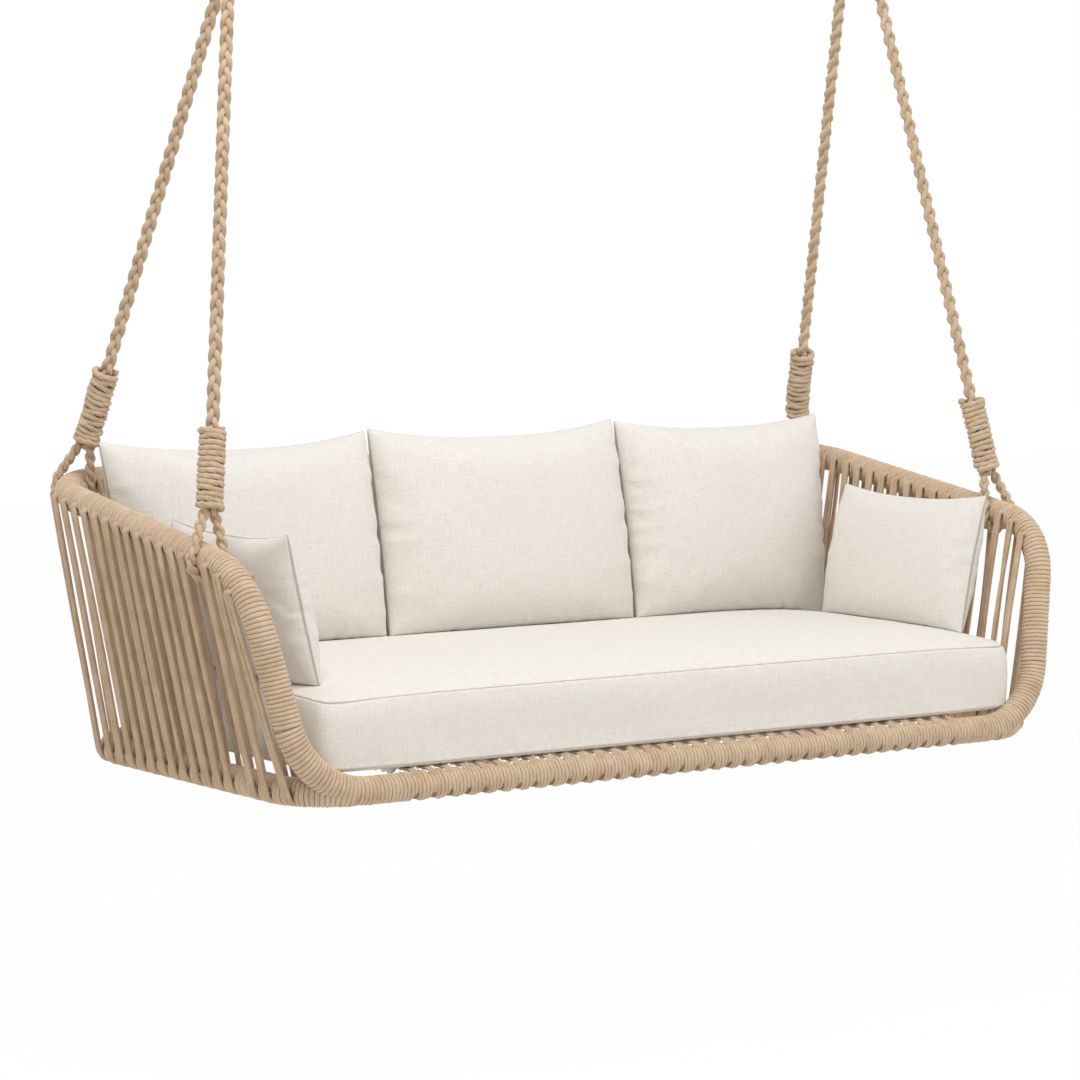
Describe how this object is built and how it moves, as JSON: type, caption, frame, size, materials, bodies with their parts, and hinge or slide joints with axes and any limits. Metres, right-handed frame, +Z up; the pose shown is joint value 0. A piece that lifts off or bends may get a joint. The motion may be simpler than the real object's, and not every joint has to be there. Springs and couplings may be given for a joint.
{
  "type": "hanging sofa",
  "caption": "Hanging sofa: a rounded tube basket wound and strung with cord, hung on whipped ropes from two ceiling hangers, with a seat cushion, back cushions and side pillows.",
  "frame": {"origin": "middle of the ceiling plane, midway between the centres of the two hanger plates' upper faces", "axes": "+X along the seat, to the right as seen from the front; -Y is the open front; +Z is up"},
  "size_m": [2.1368, 1.0197, 2.029],
  "materials": {
    "hanger_steel": "satin",
    "bush_plastic": "matte",
    "frame_aluminium": "satin",
    "wound_cord": "matte",
    "twisted_rope": "matte",
    "linen_cover": "matte"
  },
  "bodies": {
    "ceiling_hangers": {"hanger_plate_left": "hanger_steel", "hanger_plate_right": "hanger_steel", "hinge_pin_left": "hanger_steel", "hinge_pin_right": "hanger_steel"},
    "sofa": {"swing_link_left": "hanger_steel", "swing_link_right": "hanger_steel", "rope_ring_left": "hanger_steel", "rope_ring_right": "hanger_steel", "hinge_bush_left": "bush_plastic", "hinge_bush_right": "bush_plastic", "front_rail_tube": "frame_aluminium", "arm_tube_left": "frame_aluminium", "arm_tube_right": "frame_aluminium", "back_rail_tube": "frame_aluminium", "base_tube_left": "frame_aluminium", "base_tube_right": "frame_aluminium", "base_back_tube": "frame_aluminium", "deck_bearer_left": "frame_aluminium", "deck_bearer_centre": "frame_aluminium", "deck_bearer_right": "frame_aluminium", "front_rail_winding": "wound_cord", "arm_winding_left": "wound_cord", "arm_winding_right": "wound_cord", "back_rail_winding": "wound_cord", "base_winding_left": "wound_cord", "base_winding_right": "wound_cord", "base_back_winding": "wound_cord", "side_strands_outer_left": "wound_cord", "side_strands_outer_right": "wound_cord", "side_strands_inner_left": "wound_cord", "side_strands_inner_right": "wound_cord", "back_strands_outer": "wound_cord", "back_strands_inner": "wound_cord", "deck_cords": "wound_cord", "rope_eye_front_left": "twisted_rope", "rope_eye_front_right": "twisted_rope", "rope_eye_back_left": "twisted_rope", "rope_eye_back_right": "twisted_rope", "rope_front_left": "twisted_rope", "rope_front_right": "twisted_rope", "rope_back_left": "twisted_rope", "rope_back_right": "twisted_rope", "whipping_front_left": "twisted_rope", "whipping_front_right": "twisted_rope", "whipping_back_left": "twisted_rope", "whipping_back_right": "twisted_rope", "rope_loop_front_left": "twisted_rope", "rope_loop_front_right": "twisted_rope", "rope_loop_back_left": "twisted_rope", "rope_loop_back_right": "twisted_rope"},
    "seat_cushion": {"seat_cushion": "linen_cover"},
    "back_cushion_left": {"back_cushion_left": "linen_cover"},
    "back_cushion_centre": {"back_cushion_centre": "linen_cover"},
    "back_cushion_right": {"back_cushion_right": "linen_cover"},
    "side_pillow_left": {"side_pillow_left": "linen_cover"},
    "side_pillow_right": {"side_pillow_right": "linen_cover"}
  },
  "joints": [
    {"name": "swing", "type": "hinge", "parent": "ceiling_hangers", "child": "sofa", "pos_m": [0, 0, -0.042], "axis": [1, 0, 0], "range_deg": [-15, 15]},
    {"name": "seat_lift", "type": "slide", "parent": "sofa", "child": "seat_cushion", "axis": [0, 0, 1], "range_m": [0, 0.04]},
    {"name": "left_back_lift", "type": "slide", "parent": "seat_cushion", "child": "back_cushion_left", "axis": [0, 0, 1], "range_m": [0, 0.05]},
    {"name": "centre_back_lift", "type": "slide", "parent": "seat_cushion", "child": "back_cushion_centre", "axis": [0, 0, 1], "range_m": [0, 0.2]},
    {"name": "right_back_lift", "type": "slide", "parent": "seat_cushion", "child": "back_cushion_right", "axis": [0, 0, 1], "range_m": [0, 0.05]},
    {"name": "left_pillow_lift", "type": "slide", "parent": "seat_cushion", "child": "side_pillow_left", "axis": [0, 0, 1], "range_m": [0, 0.18]},
    {"name": "right_pillow_lift", "type": "slide", "parent": "seat_cushion", "child": "side_pillow_right", "axis": [0, 0, 1], "range_m": [0, 0.18]}
  ]
}
